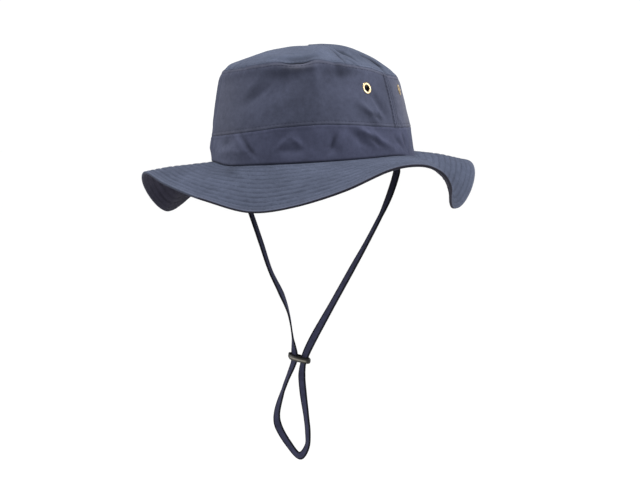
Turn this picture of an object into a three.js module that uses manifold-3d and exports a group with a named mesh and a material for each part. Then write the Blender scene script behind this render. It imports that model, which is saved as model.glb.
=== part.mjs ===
// Soft safari hat: a four-panel crown, a waved quilted brim, brass eyelets and a looped chin strap.
// Lengths in millimetres. +Z is up, the front of the hat faces -Y, the wearer's left is +X.
// The origin is the centre of the head opening, on the seam between crown and brim.
// Azimuths are degrees around the crown: 0 at the front, 90 at the wearer's left.
import * as THREE from 'three';
import { mergeVertices } from 'three/addons/utils/BufferGeometryUtils.js';
import Module from 'manifold-3d';

// Driving sizes
const HALF_WIDTH = 82;            // outer half width of the crown at the base seam
const HALF_LENGTH = 100;          // outer half length of the crown at the base seam
const CROWN_HEIGHT = 95;          // highest point of the domed top
const DOME_POWER = 2;             // how the top falls from its middle to its seam
const BRIM_WIDTH = 60;            // from the base seam to the rim, along the cloth
const CLOTH = 1.6;                // crown cloth with its seam allowances
const BRIM_THICKNESS = 2.4;       // two layers of cloth quilted together
const SEAM_GAP = 0.35;            // clear gap left at every seam between two pieces
const SIDE_SEAM_AT = 90;          // azimuth of the two side seams, left and right
const FADE_HEIGHT = 9;            // dents fade out over this height above the base seam

const EYELET_AT = [71.5, 108.5];  // azimuths of a pair, mirrored on the other side
const EYELET_HEIGHT = 54.5;
const EYELET_FLANGE = 5.0;        // outer radius of the show side
const EYELET_BACK = 4.5;          // outer radius of the washer inside the crown
const EYELET_BARREL = 2.95;
const EYELET_HOLE = 2.4;
const EYELET_PLATE = 0.5;
const WALL_HOLE = 3.3;            // hole punched through the cloth
const EYELET_STANDOFF = 0.35;     // between a plate and the cloth

const TAPE_WIDTH = 7;
const TAPE_THICKNESS = 1.5;

const SLIDER_WIDTH = 21.5;
const SLIDER_DEPTH = 8.4;
const SLIDER_HEIGHT = 5;
const SLIDER_WALL = 1.2;
const SLIDER_CENTRE = [-25.3, 0, -174.6];
const SLIDER_TILT = 11.5;         // its left end stands higher

const BAND_COLUMNS = 80;
const PANEL_COLUMNS = 40;
const TOP_COLUMNS = 80;
const BRIM_COLUMNS = 100;

// Crown seams around the azimuth: height of the band seam and of the top seam
const CROWN_SEAMS = [
  { at: -150, band: 21.0, top: 70.0 },
  { at: -105, band: 21.0, top: 74.0 },
  { at: -61, band: 22.4, top: 77.0 },
  { at: -20, band: 25.0, top: 78.0 },
  { at: 0, band: 26.8, top: 79.6 },
  { at: 15, band: 28.5, top: 80.6 },
  { at: 28, band: 29.2, top: 79.0 },
  { at: 42, band: 29.0, top: 80.5 },
  { at: 60, band: 26.8, top: 76.5 },
  { at: 78, band: 24.0, top: 72.0 },
  { at: 92, band: 22.5, top: 67.0 },
  { at: 118, band: 21.3, top: 65.0 },
  { at: 165, band: 21.0, top: 67.0 },
];

// How far the wall leans inward at each height
const WALL_LEAN = [
  { at: 0, inset: 0 },
  { at: 15, inset: 2.0 },
  { at: 30, inset: 4.2 },
  { at: 45, inset: 7.0 },
  { at: 58, inset: 10.0 },
  { at: 68, inset: 12.3 },
  { at: 76, inset: 13.4 },
  { at: 82, inset: 14.2 },
];

// Brim around the azimuth: dip of the base seam below its plane, and downward slope in degrees at the
// crown, halfway out and at the rim
const BRIM_WAVE = [
  { at: -178, dip: 0, root: 11, mid: 13, rim: 24 },
  { at: -145, dip: 0, root: 9, mid: 16, rim: 28 },
  { at: -118, dip: 0, root: 11, mid: 21.5, rim: 32 },
  { at: -96, dip: 0, root: 14, mid: 29, rim: 44 },
  { at: -82, dip: 0, root: 20, mid: 38, rim: 56 },
  { at: -70, dip: 0, root: 24, mid: 41.5, rim: 59 },
  { at: -60, dip: 0, root: 21, mid: 36, rim: 51 },
  { at: -50, dip: 0, root: 0, mid: 15.5, rim: 31 },
  { at: -36, dip: 0, root: -7, mid: 0, rim: 7 },
  { at: -20, dip: 0, root: 5, mid: 9, rim: 13 },
  { at: -5, dip: 0, root: 15.2, mid: 21.2, rim: 27.2 },
  { at: 9, dip: 0, root: 20.4, mid: 32.4, rim: 44.4 },
  { at: 23, dip: 0, root: 16, mid: 29, rim: 42 },
  { at: 38, dip: 0, root: 11.6, mid: 17.6, rim: 24.6 },
  { at: 52, dip: 0, root: 1.6, mid: 5.6, rim: 9.6 },
  { at: 64, dip: 0, root: 0, mid: 3, rim: 10 },
  { at: 74, dip: 0, root: 0, mid: 10, rim: 28 },
  { at: 83, dip: 0.2, root: -2, mid: 23, rim: 59 },
  { at: 92, dip: 1.5, root: -5, mid: 37, rim: 92 },
  { at: 101, dip: 4.8, root: -7, mid: 50, rim: 108 },
  { at: 111, dip: 6.5, root: 4, mid: 55, rim: 97 },
  { at: 122, dip: 6, root: 9, mid: 50, rim: 64 },
  { at: 133, dip: 2.5, root: -2, mid: 19, rim: 32 },
  { at: 145, dip: 0.3, root: 6, mid: 14, rim: 11 },
  { at: 160, dip: 0, root: 11, mid: 16, rim: 20 },
];

// Soft ridges (rise above zero) and dents (below) of the cloth: azimuth and distance up the crown of
// the middle, lean from upright towards the wearer's left, length, width and rise
const FOLDS = [
  { at: 38, up: 68, lean: 0, length: 30, width: 9, rise: 1.6 },
  { at: 19, up: 69, lean: 12, length: 26, width: 12, rise: -1.8 },
  { at: 52, up: 72, lean: -20, length: 22, width: 10, rise: -1.6 },
  { at: 68, up: 37, lean: -52, length: 30, width: 8, rise: 1.8 },
  { at: 78, up: 40, lean: -35, length: 24, width: 8, rise: -1.6 },
  { at: 65, up: 17, lean: -40, length: 26, width: 7, rise: 1.5 },
  { at: 27, up: 18, lean: 30, length: 20, width: 13, rise: -1.5 },
  { at: 44, up: 12, lean: 0, length: 18, width: 6, rise: -1.2 },
  { at: -8, up: 14, lean: -48, length: 28, width: 8, rise: 1.5 },
  { at: -50, up: 14, lean: 10, length: 22, width: 10, rise: 1.3 },
  { at: 0, up: 52, lean: 80, length: 50, width: 14, rise: -1.3 },
  { at: 45, up: 102, lean: 25, length: 34, width: 10, rise: 2.2 },
  { at: 66, up: 98, lean: 25, length: 34, width: 9, rise: -2.0 },
  { at: 85, up: 96, lean: 30, length: 30, width: 10, rise: 1.8 },
  { at: -120, up: 50, lean: 30, length: 44, width: 14, rise: -1.8 },
  { at: 150, up: 48, lean: -25, length: 44, width: 14, rise: -1.8 },
  { at: -170, up: 30, lean: 60, length: 40, width: 12, rise: 1.6 },
  { at: -45, up: 46, lean: 15, length: 36, width: 12, rise: -1.4 },
  { at: 14, up: 63, lean: 80, length: 46, width: 18, rise: -1.5 },
  { at: 50, up: 63, lean: 95, length: 30, width: 18, rise: -1.5 },
  { at: -62, up: 62, lean: 0, length: 84, width: 64, rise: 2.6 },
  { at: 118, up: 108, lean: 0, length: 60, width: 60, rise: 2.6 },
];

// The tape's centre line and the way its flat side faces, in degrees from the front. It starts at the
// wearer's left, goes down through the slider, around the loop and up to the wearer's right.
const TAPE_PATH = [
  { x: 76.9, y: 0, z: 14, face: -90 },
  { x: 77.5, y: 0, z: 4, face: -90 },
  { x: 77.9, y: 0, z: -4, face: -90 },
  { x: 76.8, y: 0, z: -13, face: -94 },
  { x: 70, y: 0, z: -31, face: -104 },
  { x: 64.2, y: 0, z: -42.5, face: -84 },
  { x: 60.2, y: 0, z: -49.6, face: -50 },
  { x: 45.5, y: 0, z: -73, face: -45 },
  { x: 30.1, y: 0, z: -96, face: -32 },
  { x: 9.1, y: 0, z: -127.4, face: -25 },
  { x: -11, y: 0, z: -157.5, face: 0 },
  { x: -18.4, y: 0, z: -170.2, face: -3 },
  { x: -20.4, y: 0, z: -174.9, face: -6 },
  { x: -21.9, y: 0, z: -179.6, face: -14 },
  { x: -23.1, y: -1, z: -189, face: -14 },
  { x: -21.6, y: -3, z: -205, face: -14 },
  { x: -19.3, y: -4, z: -224.5, face: -30 },
  { x: -18.6, y: -4, z: -239, face: -32 },
  { x: -20.7, y: -3, z: -252, face: -38 },
  { x: -29.7, y: -1, z: -261.5, face: -30 },
  { x: -41.8, y: 1, z: -251.5, face: -14 },
  { x: -51.7, y: 2, z: -236, face: 0 },
  { x: -52.2, y: 2, z: -226, face: -22 },
  { x: -44.6, y: 2, z: -204.5, face: -47 },
  { x: -38.1, y: 1, z: -191.7, face: -45 },
  { x: -31.6, y: 0, z: -179.6, face: -16 },
  { x: -29.9, y: 0, z: -174.4, face: -5 },
  { x: -29.9, y: 0, z: -168.5, face: -15 },
  { x: -30.7, y: 0, z: -157, face: -54 },
  { x: -33.6, y: 0, z: -135, face: -69 },
  { x: -39.6, y: 0, z: -118, face: -97 },
  { x: -49.3, y: 0, z: -98, face: -86 },
  { x: -57.6, y: 0, z: -72, face: -92 },
  { x: -66.2, y: 0, z: -46, face: -92 },
  { x: -74.4, y: 0, z: -23, face: -90 },
  { x: -77.4, y: 0, z: -12, face: -90 },
  { x: -77.9, y: 0, z: -4, face: -90 },
  { x: -77.5, y: 0, z: 4, face: -90 },
  { x: -76.9, y: 0, z: 14, face: -90 },
];
const TAPE_STEPS = 84;

const radians = (degrees) => degrees * Math.PI / 180;

function hermite(t, span, from, to, fromSlope, toSlope) {
  const t2 = t * t;
  const t3 = t2 * t;
  return (2 * t3 - 3 * t2 + 1) * from + (t3 - 2 * t2 + t) * span * fromSlope
    + (3 * t2 - 2 * t3) * to + (t3 - t2) * span * toSlope;
}

// Smooth reading of one column of a table that runs all the way around
function readAround(rows, column, azimuth) {
  const n = rows.length;
  const turn = ((azimuth - rows[0].at) % 360 + 360) % 360 + rows[0].at;
  let k = n - 1;
  while (rows[k].at > turn) k -= 1;
  const at = (i) => rows[(i + n) % n].at + 360 * Math.floor(i / n);
  const value = (i) => rows[(i + n) % n][column];
  const slope = (i) => (value(i + 1) - value(i - 1)) / (at(i + 1) - at(i - 1));
  const span = at(k + 1) - at(k);
  return hermite((turn - at(k)) / span, span, value(k), value(k + 1), slope(k), slope(k + 1));
}

// Smooth reading of one column of a table with two ends
function readAlong(rows, column, where) {
  const last = rows.length - 1;
  let k = 0;
  while (k < last - 1 && rows[k + 1].at < where) k += 1;
  const slope = (i) => {
    const a = Math.max(i - 1, 0);
    const b = Math.min(i + 1, last);
    return (rows[b][column] - rows[a][column]) / (rows[b].at - rows[a].at);
  };
  const span = rows[k + 1].at - rows[k].at;
  const t = (where - rows[k].at) / span;
  return hermite(t, span, rows[k][column], rows[k + 1][column], slope(k), slope(k + 1));
}

const bandSeam = (azimuth) => readAround(CROWN_SEAMS, 'band', azimuth);
const topSeam = (azimuth) => readAround(CROWN_SEAMS, 'top', azimuth);
const topInset = (azimuth) => readAlong(WALL_LEAN, 'inset', topSeam(azimuth));

// How far the base seam hangs below its plane
function seamDip(azimuth) {
  return readAround(BRIM_WAVE, 'dip', azimuth);
}

// Rise of the folds at an azimuth and a distance up the crown
function foldRise(azimuth, up) {
  let rise = 0;
  const shrink = 1 - 0.4 * Math.min(1, Math.max(0, (up - 76) / 24));
  for (const fold of FOLDS) {
    const turn = ((azimuth - fold.at + 540) % 360) - 180;
    const across = radians(turn) * (HALF_WIDTH + HALF_LENGTH) / 2 * shrink;
    const lean = radians(fold.lean);
    const along = (up - fold.up) * Math.cos(lean) + across * Math.sin(lean);
    const beside = across * Math.cos(lean) - (up - fold.up) * Math.sin(lean);
    rise += fold.rise * Math.exp(-((2 * along / fold.length) ** 2) - (2 * beside / fold.width) ** 2);
  }
  return rise * Math.min(1, Math.max(0, up + seamDip(azimuth) - 2) / FADE_HEIGHT);
}

function smoothCrown(azimuth, up) {
  const a = radians(azimuth);
  const seam = topSeam(azimuth);
  const point = new THREE.Vector3();
  if (up <= seam) {
    const inset = readAlong(WALL_LEAN, 'inset', Math.max(up, 0));
    point.set((HALF_WIDTH - inset) * Math.sin(a), -(HALF_LENGTH - inset) * Math.cos(a), up);
    return point;
  }
  const inset = topInset(azimuth);
  const reach = topReach(azimuth);
  const r = 1 - (up - seam) / reach;
  point.set((HALF_WIDTH - inset) * Math.sin(a) * r, -(HALF_LENGTH - inset) * Math.cos(a) * r,
    CROWN_HEIGHT + (seam - CROWN_HEIGHT) * Math.abs(r) ** DOME_POWER);
  return point;
}

// Distance from the top seam to the middle of the top panel
function topReach(azimuth) {
  const a = radians(azimuth);
  const inset = topInset(azimuth);
  return Math.hypot((HALF_WIDTH - inset) * Math.sin(a), (HALF_LENGTH - inset) * Math.cos(a));
}

function crownNormal(azimuth, up) {
  const seam = topSeam(azimuth);
  const step = 0.5;
  const low = up > seam ? Math.max(up - step, seam + 0.01) : up - step;
  const high = up > seam ? up + step : Math.min(up + step, seam);
  const around = smoothCrown(azimuth + 0.5, up).sub(smoothCrown(azimuth - 0.5, up));
  const rising = smoothCrown(azimuth, high).sub(smoothCrown(azimuth, low));
  return around.cross(rising).normalize();
}

// A point of the crown: azimuth, distance up from the base seam, depth below the outer face. The
// edge of wall and top is eased so that both sheets turn the corner on the same slant.
function crownPoint(azimuth, up, depth) {
  const seam = topSeam(azimuth);
  const normal = crownNormal(azimuth, up);
  const near = Math.max(0, 1 - Math.abs(up - seam) / 4);
  if (near > 0) {
    const wall = crownNormal(azimuth, seam - 0.3);
    const top = crownNormal(azimuth, seam + 0.6);
    const corner = wall.add(top).normalize();
    normal.lerp(corner, near).normalize();
  }
  return smoothCrown(azimuth, up).addScaledVector(normal, foldRise(azimuth, up) - depth);
}

// Reach outward and downward of half a brim profile that turns evenly from one slope to another
function bend(from, to, run) {
  const half = (to - from) * run / BRIM_WIDTH;
  const chord = run * (Math.abs(half) < 1e-6 ? 1 : Math.sin(half) / half);
  return { out: chord * Math.cos(from + half), drop: chord * Math.sin(from + half) };
}

// A point of the top face of the brim, distance measured along the cloth from the base seam
function brimMiddle(azimuth, along) {
  const a = radians(azimuth);
  const root = radians(readAround(BRIM_WAVE, 'root', azimuth));
  const mid = radians(readAround(BRIM_WAVE, 'mid', azimuth));
  const rim = radians(readAround(BRIM_WAVE, 'rim', azimuth));
  const inner = bend(root, mid, Math.min(Math.max(along, 0), BRIM_WIDTH / 2));
  const outer = bend(mid, rim, Math.max(along - BRIM_WIDTH / 2, 0));
  const out = inner.out + outer.out + Math.min(along, 0);
  const drop = seamDip(azimuth) + inner.drop + outer.drop;
  const normal = new THREE.Vector3(Math.sin(a) / HALF_WIDTH, -Math.cos(a) / HALF_LENGTH, 0).normalize();
  return new THREE.Vector3(HALF_WIDTH * Math.sin(a), -HALF_LENGTH * Math.cos(a), -drop)
    .addScaledVector(normal, out);
}

function brimPoint(azimuth, along, depth) {
  const around = brimMiddle(azimuth + 1, along).sub(brimMiddle(azimuth - 1, along));
  const outward = brimMiddle(azimuth, along + 1).sub(brimMiddle(azimuth, along - 0.5));
  const normal = outward.cross(around).normalize();
  return brimMiddle(azimuth, along).addScaledVector(normal, -depth).add(new THREE.Vector3(0, 0, -SEAM_GAP));
}

// A closed sheet between an outer and an inner grid of points. The grid has rows from low to high and
// columns around; closed grids join their last column to their first.
function sheetGeometry(columns, rows, isRing, pointAt) {
  const stations = isRing ? columns : columns + 1;
  const positions = [];
  const index = [];
  for (const face of [0, 1]) {
    for (let i = 0; i < stations; i += 1) {
      for (let j = 0; j <= rows; j += 1) positions.push(...pointAt(i / columns, j / rows, face).toArray());
    }
  }
  const at = (i, j, face) => (face * stations + (i % stations)) * (rows + 1) + j;
  const quad = (a, b, c, d) => index.push(a, b, c, a, c, d);
  for (let i = 0; i < columns; i += 1) {
    for (let j = 0; j < rows; j += 1) {
      quad(at(i, j, 0), at(i + 1, j, 0), at(i + 1, j + 1, 0), at(i, j + 1, 0));
      quad(at(i, j, 1), at(i, j + 1, 1), at(i + 1, j + 1, 1), at(i + 1, j, 1));
    }
    quad(at(i, 0, 0), at(i, 0, 1), at(i + 1, 0, 1), at(i + 1, 0, 0));
    quad(at(i, rows, 0), at(i + 1, rows, 0), at(i + 1, rows, 1), at(i, rows, 1));
  }
  if (!isRing) {
    for (let j = 0; j < rows; j += 1) {
      quad(at(0, j, 0), at(0, j + 1, 0), at(0, j + 1, 1), at(0, j, 1));
      quad(at(columns, j, 0), at(columns, j, 1), at(columns, j + 1, 1), at(columns, j + 1, 0));
    }
  }
  const geometry = new THREE.BufferGeometry();
  geometry.setAttribute('position', new THREE.Float32BufferAttribute(positions, 3));
  geometry.setIndex(index);
  return geometry;
}

function bandGeometry() {
  return sheetGeometry(BAND_COLUMNS, 3, true, (t, u, face) => {
    const azimuth = -180 + 360 * t;
    const low = -seamDip(azimuth);
    const high = bandSeam(azimuth) - SEAM_GAP / 2;
    return crownPoint(azimuth, low + u * (high - low), face * CLOTH);
  });
}

function panelGeometry(middle) {
  const halfSpan = SIDE_SEAM_AT - SEAM_GAP / 2 / radians(1) / (HALF_WIDTH - 8);
  return sheetGeometry(PANEL_COLUMNS, 6, false, (t, u, face) => {
    const azimuth = middle + halfSpan * (2 * t - 1);
    const low = bandSeam(azimuth) + SEAM_GAP / 2;
    const high = topSeam(azimuth) - SEAM_GAP / 2;
    return crownPoint(azimuth, low + u * (high - low), face * CLOTH);
  });
}

// The top panel: rings from its seam inward, closed by one point on each face
function topGeometry() {
  const rings = 6;
  const positions = [];
  const index = [];
  for (const face of [0, 1]) {
    for (let j = 0; j < rings; j += 1) {
      for (let i = 0; i < TOP_COLUMNS; i += 1) {
        const azimuth = -180 + 360 * i / TOP_COLUMNS;
        const start = topSeam(azimuth) + SEAM_GAP;
        const up = start + (topReach(azimuth) - SEAM_GAP) * (j / rings) ** 1.15;
        positions.push(...crownPoint(azimuth, up, face * CLOTH).toArray());
      }
    }
    positions.push(0, 0, CROWN_HEIGHT - face * CLOTH);
  }
  const perFace = rings * TOP_COLUMNS + 1;
  const at = (i, j, face) => face * perFace + j * TOP_COLUMNS + (i % TOP_COLUMNS);
  const quad = (a, b, c, d) => index.push(a, b, c, a, c, d);
  for (let i = 0; i < TOP_COLUMNS; i += 1) {
    for (let j = 0; j < rings - 1; j += 1) {
      quad(at(i, j, 0), at(i + 1, j, 0), at(i + 1, j + 1, 0), at(i, j + 1, 0));
      quad(at(i, j, 1), at(i, j + 1, 1), at(i + 1, j + 1, 1), at(i + 1, j, 1));
    }
    index.push(at(i, rings - 1, 0), at(i + 1, rings - 1, 0), perFace - 1);
    index.push(at(i + 1, rings - 1, 1), at(i, rings - 1, 1), 2 * perFace - 1);
    quad(at(i, 0, 0), at(i, 0, 1), at(i + 1, 0, 1), at(i + 1, 0, 0));
  }
  const geometry = new THREE.BufferGeometry();
  geometry.setAttribute('position', new THREE.Float32BufferAttribute(positions, 3));
  geometry.setIndex(index);
  return geometry;
}

// The brim starts under the band's lower edge. Rows are closer together at the crown.
function brimGeometry() {
  const rows = [-CLOTH, 0, 8, 18, 29, 40, 51, BRIM_WIDTH];
  return sheetGeometry(BRIM_COLUMNS, rows.length - 1, true, (t, u, face) => {
    const along = rows[Math.round(u * (rows.length - 1))];
    return brimPoint(-180 + 360 * t, along, (1 - face) * BRIM_THICKNESS);
  });
}

// Position and turn of an eyelet: its axis lies along the wall's outward normal
function eyeletFrame(azimuth) {
  const at = (turn, rise) => crownPoint(azimuth + turn, EYELET_HEIGHT + rise, CLOTH / 2);
  const around = at(3, 0).sub(at(-3, 0));
  const normal = around.cross(at(0, 4).sub(at(0, -4))).normalize();
  const centre = at(0, 0);
  const turn = new THREE.Quaternion().setFromUnitVectors(new THREE.Vector3(0, 1, 0), normal);
  return new THREE.Matrix4().compose(centre, turn, new THREE.Vector3(1, 1, 1));
}

function eyeletGeometry(azimuth) {
  const inner = CLOTH / 2 + EYELET_STANDOFF;
  const outer = inner + EYELET_PLATE;
  const outline = [
    [EYELET_HOLE, -outer], [EYELET_BACK, -outer],
    [EYELET_BACK, -inner], [EYELET_BARREL, -inner], [EYELET_BARREL, inner],
    [EYELET_FLANGE, inner], [EYELET_FLANGE - 0.2, outer - 0.1], [EYELET_FLANGE - 1.2, outer + 0.25],
    [EYELET_HOLE + 0.4, outer], [EYELET_HOLE, outer - 0.3],
  ].map(([r, h]) => new THREE.Vector2(r, h));
  outline.push(outline[0].clone());
  return new THREE.LatheGeometry(outline, 14).applyMatrix4(eyeletFrame(azimuth));
}

// Tape centre line with the facing angle carried along
function tapeStations() {
  const points = TAPE_PATH.map((row) => new THREE.Vector3(row.x, row.y, row.z));
  const curve = new THREE.CatmullRomCurve3(points, false, 'centripetal');
  const stations = [];
  for (let i = 0; i <= TAPE_STEPS; i += 1) {
    const u = i / TAPE_STEPS;
    const place = curve.getUtoTmapping(u) * (TAPE_PATH.length - 1);
    const k = Math.min(Math.floor(place), TAPE_PATH.length - 2);
    const face = THREE.MathUtils.lerp(TAPE_PATH[k].face, TAPE_PATH[k + 1].face, place - k);
    stations.push({ point: curve.getPointAt(u), tangent: curve.getTangentAt(u), face });
  }
  return stations;
}

// The flat tape as one closed skin: an eight-sided section with softened edges, swept along the line
function tapeGeometry() {
  const section = [];
  const w = TAPE_WIDTH / 2;
  const h = TAPE_THICKNESS / 2;
  for (const [x, y] of [[1, 0.45], [0.86, 1], [-0.86, 1], [-1, 0.45], [-1, -0.45], [-0.86, -1],
    [0.86, -1], [1, -0.45]]) section.push([x * w, y * h]);
  const positions = [];
  const index = [];
  const stations = tapeStations();
  const sides = section.length;
  let across = null;
  for (const { point, tangent, face } of stations) {
    const facing = new THREE.Vector3(Math.sin(radians(face)), -Math.cos(radians(face)), 0);
    const side = facing.clone().cross(tangent).normalize();
    if (across && across.dot(side) < 0) side.negate();
    across = side.clone();
    const flat = tangent.clone().cross(side).normalize();
    for (const [x, y] of section) {
      positions.push(...point.clone().addScaledVector(side, x).addScaledVector(flat, y).toArray());
    }
  }
  const end = stations.length - 1;
  for (let i = 0; i < end; i += 1) {
    for (let j = 0; j < sides; j += 1) {
      const k = (j + 1) % sides;
      const a = i * sides + j;
      const b = i * sides + k;
      index.push(a, b, b + sides, a, b + sides, a + sides);
    }
  }
  for (let j = 1; j < sides - 1; j += 1) {
    index.push(0, j + 1, j);
    index.push(end * sides, end * sides + j, end * sides + j + 1);
  }
  const geometry = new THREE.BufferGeometry();
  geometry.setAttribute('position', new THREE.Float32BufferAttribute(positions, 3));
  geometry.setIndex(index);
  return geometry;
}

// Almond outline of the slider, seen along the strands
function almond(width, depth) {
  const points = [];
  const steps = 14;
  for (let i = 0; i < steps * 2; i += 1) {
    const a = Math.PI * i / steps;
    const c = Math.cos(a);
    points.push(new THREE.Vector2(width / 2 * c, depth / 2 * Math.sign(Math.sin(a) + 1e-9)
      * Math.abs(Math.sin(a)) ** 0.8));
  }
  return points;
}

function sliderGeometry() {
  const shape = new THREE.Shape(almond(SLIDER_WIDTH, SLIDER_DEPTH));
  shape.holes.push(new THREE.Path(almond(SLIDER_WIDTH - 2 * SLIDER_WALL, SLIDER_DEPTH - 2 * SLIDER_WALL)));
  const geometry = new THREE.ExtrudeGeometry(shape, { depth: SLIDER_HEIGHT, bevelEnabled: false, steps: 1 });
  geometry.translate(0, 0, -SLIDER_HEIGHT / 2);
  geometry.rotateY(radians(SLIDER_TILT));
  geometry.translate(...SLIDER_CENTRE);
  return geometry;
}

const wasm = await Module();
wasm.setup();

function toSolid(geometry) {
  const bare = new THREE.BufferGeometry();
  bare.setAttribute('position', geometry.getAttribute('position').clone());
  if (geometry.index) bare.setIndex(geometry.index.clone());
  const merged = mergeVertices(bare, 1e-4);
  const mesh = new wasm.Mesh({
    numProp: 3,
    vertProperties: new Float32Array(merged.getAttribute('position').array),
    triVerts: new Uint32Array(merged.index.array),
  });
  return new wasm.Manifold(mesh);
}

function fromSolid(solid) {
  const mesh = solid.getMesh();
  const geometry = new THREE.BufferGeometry();
  geometry.setAttribute('position', new THREE.BufferAttribute(new Float32Array(mesh.vertProperties), 3));
  geometry.setIndex(new THREE.BufferAttribute(new Uint32Array(mesh.triVerts), 1));
  return geometry;
}

function punchedPanel(middle, azimuths) {
  let panel = toSolid(panelGeometry(middle));
  for (const azimuth of azimuths) {
    const punch = new THREE.CylinderGeometry(WALL_HOLE, WALL_HOLE, 8, 16).applyMatrix4(eyeletFrame(azimuth));
    panel = panel.subtract(toSolid(punch));
  }
  return fromSolid(panel);
}

const CLOTH_LOOK = { color: 0x4d5263, roughness: 0.9, metalness: 0 };
const BRIM_LOOK = { color: 0x555c70, roughness: 0.9, metalness: 0 };
const BAND_LOOK = { color: 0x454959, roughness: 0.9, metalness: 0 };
const STRAP_LOOK = { color: 0x2a2a34, roughness: 0.85, metalness: 0 };
const SLIDER_LOOK = { color: 0x1a1917, roughness: 0.45, metalness: 0 };
const BRASS_LOOK = { color: 0xc8b48a, roughness: 0.3, metalness: 1 };

const hat = new THREE.Group();
hat.name = 'safari_hat';

function add(name, geometry, look) {
  const closed = geometry.index ? geometry : mergeVertices(geometry.deleteAttribute('uv'), 1e-4);
  closed.computeVertexNormals();
  const mesh = new THREE.Mesh(closed, new THREE.MeshStandardMaterial(look));
  mesh.name = name;
  hat.add(mesh);
}

const [front, back] = EYELET_AT;
add('crown_top', topGeometry(), CLOTH_LOOK);
add('crown_side_front', punchedPanel(0, [front, -front]), CLOTH_LOOK);
add('crown_side_back', punchedPanel(180, [back, -back]), CLOTH_LOOK);
add('crown_band', bandGeometry(), BAND_LOOK);
add('brim', brimGeometry(), BRIM_LOOK);
add('eyelet_left_front', fromSolid(toSolid(eyeletGeometry(front))), BRASS_LOOK);
add('eyelet_left_back', fromSolid(toSolid(eyeletGeometry(back))), BRASS_LOOK);
add('eyelet_right_front', fromSolid(toSolid(eyeletGeometry(-front))), BRASS_LOOK);
add('eyelet_right_back', fromSolid(toSolid(eyeletGeometry(-back))), BRASS_LOOK);
add('chin_strap', tapeGeometry(), STRAP_LOOK);
add('strap_slider', fromSolid(toSolid(sliderGeometry())), SLIDER_LOOK);

export default hat;
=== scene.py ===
"""Soft safari hat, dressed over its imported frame: cloth, quilting, stitches, eyelets and chin strap.

Shapes are worked out in millimetres in the hat's own frame (+Z up, the front faces -Y, the wearer's
left is +X, the origin is the middle of the head opening) and turned into metres as meshes are made.
A place on the crown is an azimuth and a height up: the azimuth is in degrees around the crown, 0 at
the front and 90 at the wearer's left, and past the top seam the height goes on as the distance over
the top. A place on the brim is an azimuth and the distance along it from the base seam.
"""
import math

import bpy
import numpy as np
from mathutils import Matrix, Vector


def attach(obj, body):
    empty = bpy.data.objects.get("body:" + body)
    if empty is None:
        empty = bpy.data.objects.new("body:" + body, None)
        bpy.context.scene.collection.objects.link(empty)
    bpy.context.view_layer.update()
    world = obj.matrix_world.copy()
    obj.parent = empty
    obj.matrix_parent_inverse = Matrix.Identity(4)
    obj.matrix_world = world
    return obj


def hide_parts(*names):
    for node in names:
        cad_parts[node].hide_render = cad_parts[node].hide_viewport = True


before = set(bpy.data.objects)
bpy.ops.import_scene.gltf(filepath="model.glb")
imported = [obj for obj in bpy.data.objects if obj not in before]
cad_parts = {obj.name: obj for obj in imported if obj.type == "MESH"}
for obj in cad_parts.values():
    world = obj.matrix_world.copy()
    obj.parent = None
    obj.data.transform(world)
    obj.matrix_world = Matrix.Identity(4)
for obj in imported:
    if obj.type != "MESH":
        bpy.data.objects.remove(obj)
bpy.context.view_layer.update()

MM = 0.001


def table(columns, *rows):
    """Records from rows of values that stand under named columns."""
    names = columns.split()
    return [dict(zip(names, row)) for row in rows]


# Camera: seen from the front and the wearer's left, just above the brim, rolled by three degrees
CAMERA_AZIMUTH = 28.3
CAMERA_HEIGHT = 53.5
CAMERA_DISTANCE = 1200.0
CAMERA_PITCH = 5.912
CAMERA_YAW = 0.057
CAMERA_ROLL = 3.05
LENS = 79.34
SENSOR_WIDTH = 36
CLIP_END = 100

# Crown and brim
HALF_WIDTH = 82.0
HALF_LENGTH = 100.0
CROWN_HEIGHT = 95.0
DOME_POWER = 2.0
BRIM_WIDTH = 60.0
CLOTH = 1.6
BRIM_THICKNESS = 2.4

# Length of one degree around the wall and around the brim
WALL_ARC = 1.6
BRIM_ARC = 2.1

# Neighbouring panels overlap by this much, so that no light comes through a seam
SEAM_OVERLAP = 0.05

# The crown's normals turn to a shared slant this close to the top seam
CORNER_REACH = 4.0

# Folds fade out towards the foot of the crown, and the cloth is drawn in at the base seam
FADE_START = 2.0
FADE_HEIGHT = 9.0
FOOT_TUCK = 0.9

# Over the top a degree of the folds gets shorter by a share, from a height on
SHRINK_SHARE = 0.4
SHRINK_START = 76.0
SHRINK_REACH = 24.0

# Seams of the crown: the groove, the ridge beside it, the row of stitches and two sizes of puckers
GROOVE_WIDTH = 0.65
RIDGE_PLACE = 1.7
RIDGE_WIDTH = 1.1
TOPSTITCH = 3.0
PUCKER_SIZE = 5.4
FINE_PUCKER_SIZE = 2.3

# Side seams: the wall's inset and the length of one radian there, the pressed flats to both sides and
# the turn in degrees to the stitches
SIDE_SEAMS = (-90, 90)
SIDE_INSET = 8.0
SIDE_RADIUS = (HALF_WIDTH - SIDE_INSET) * 1.22
SIDE_FLAT = 3.6
SIDE_STITCH_TURN = 1.9

# Quilting rows, outward from the base seam, and their grooves. The puckers are rougher at the front.
QUILT_FIRST = 4.0
QUILT_SPACING = 6.7
QUILT_CLOSING = 0.11
QUILT_ROWS = 9
QUILT_GROOVE = 0.55
QUILT_GROOVE_WIDTH = 1.1
ROUGH_MIDDLE = 24
ROUGH_REACH = 26

# The hem's row and the row in its edge, inward from the rim, and the rim's rounding. The rim's edge is
# painted dark with shade at the front, and left pale where its edge shows over the lobe at the wearer's
# right.
HEM_WIDTH = 5.2
EDGE_ROW = 2.2
RIM_RADIUS = 0.7
DARK_EDGE_MIDDLE = 37.5
DARK_EDGE_REACH = 44.5
PALE_EDGE = (-58, -7)

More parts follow.
